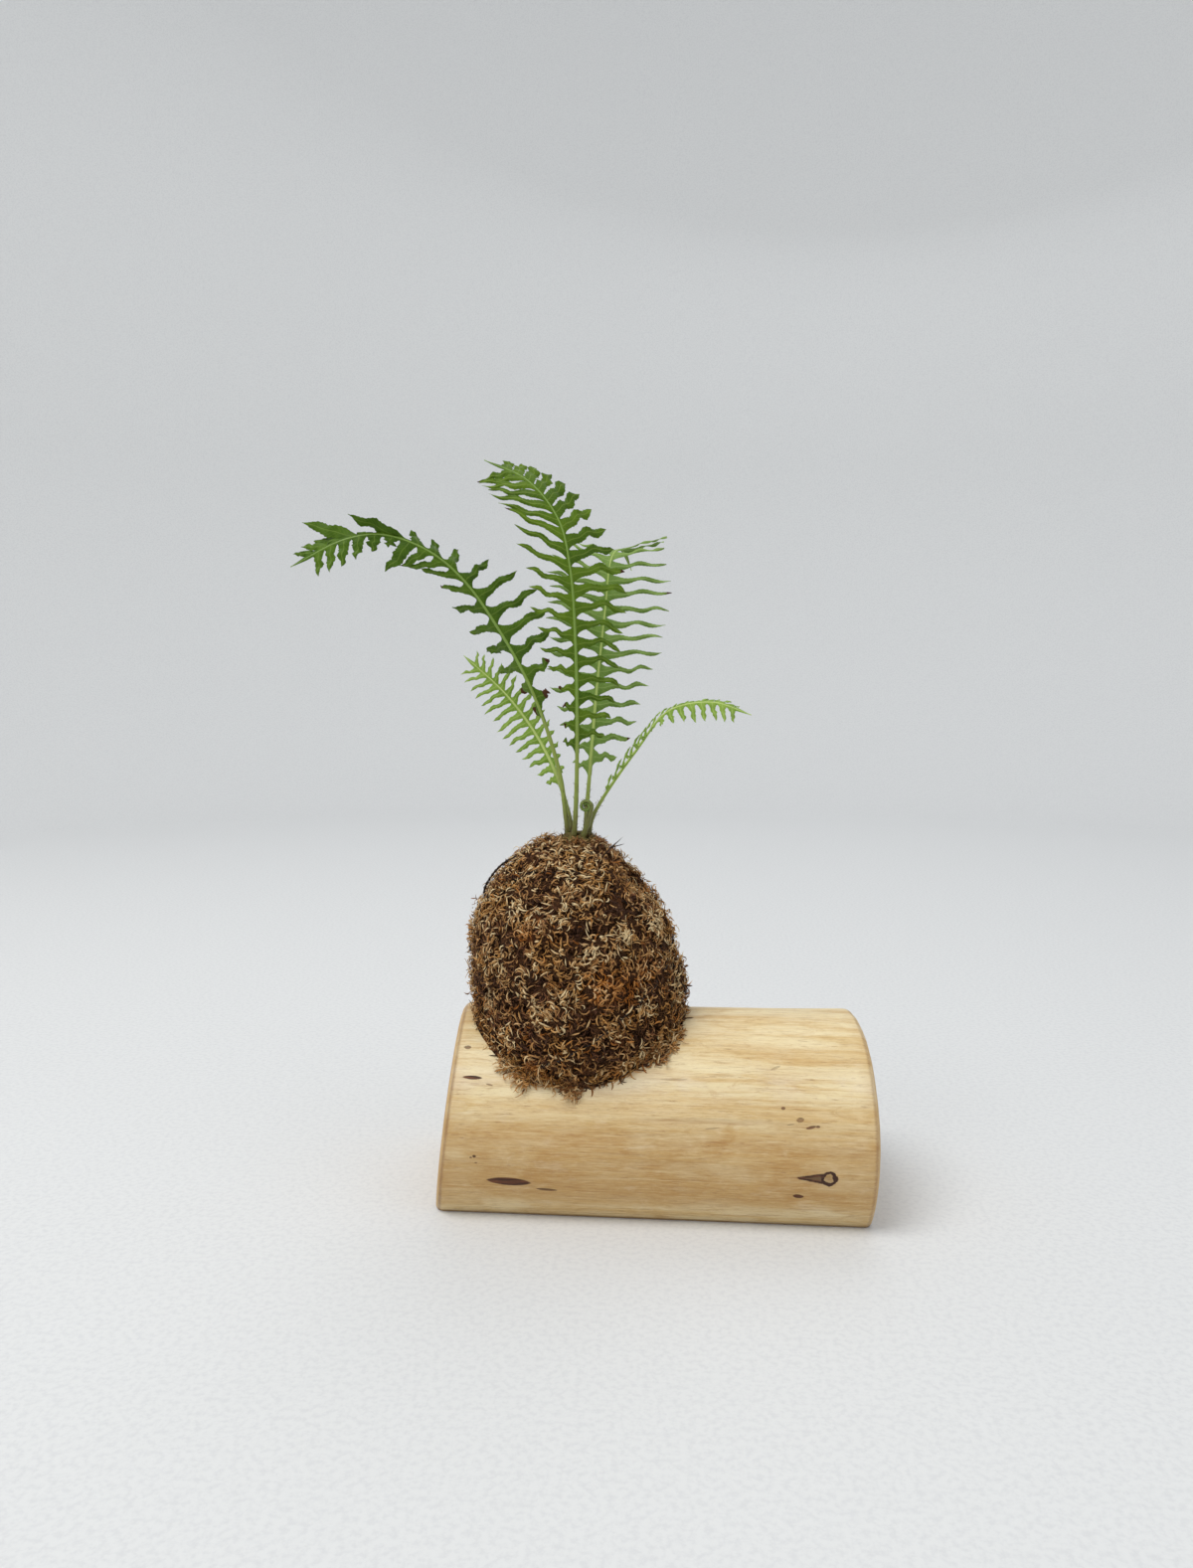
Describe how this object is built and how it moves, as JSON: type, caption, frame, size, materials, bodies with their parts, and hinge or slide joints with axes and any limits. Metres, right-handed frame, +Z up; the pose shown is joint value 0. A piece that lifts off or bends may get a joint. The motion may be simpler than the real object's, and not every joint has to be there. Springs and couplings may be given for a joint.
{
  "type": "kokedama moss ball plant",
  "caption": "Fern planted in a moss-wrapped ball of soil, bound with thread and seated in a hollow in a peeled half log.",
  "frame": {"origin": "centre of the log's flat underside", "axes": "+Z up, +X along the log, to the right seen from the front, and the front faces -Y"},
  "size_m": [0.2583, 0.1051, 0.3273],
  "materials": {
    "peeled_wood": "satin",
    "dried_moss": "matte",
    "soil": "matte",
    "dark_thread": "matte",
    "rhizome": "matte",
    "deep_green_frond": "satin",
    "light_green_frond": "satin",
    "pale_green_frond": "satin"
  },
  "bodies": {
    "root": {"log_stand": "peeled_wood", "moss_wrap": "dried_moss", "soil_core": "soil", "binding_thread": "dark_thread", "crown": "rhizome", "frond_tall": "deep_green_frond", "frond_arching": "deep_green_frond", "frond_back": "light_green_frond", "frond_left_young": "pale_green_frond", "frond_right_young": "pale_green_frond", "crozier": "deep_green_frond"}
  },
  "joints": []
}
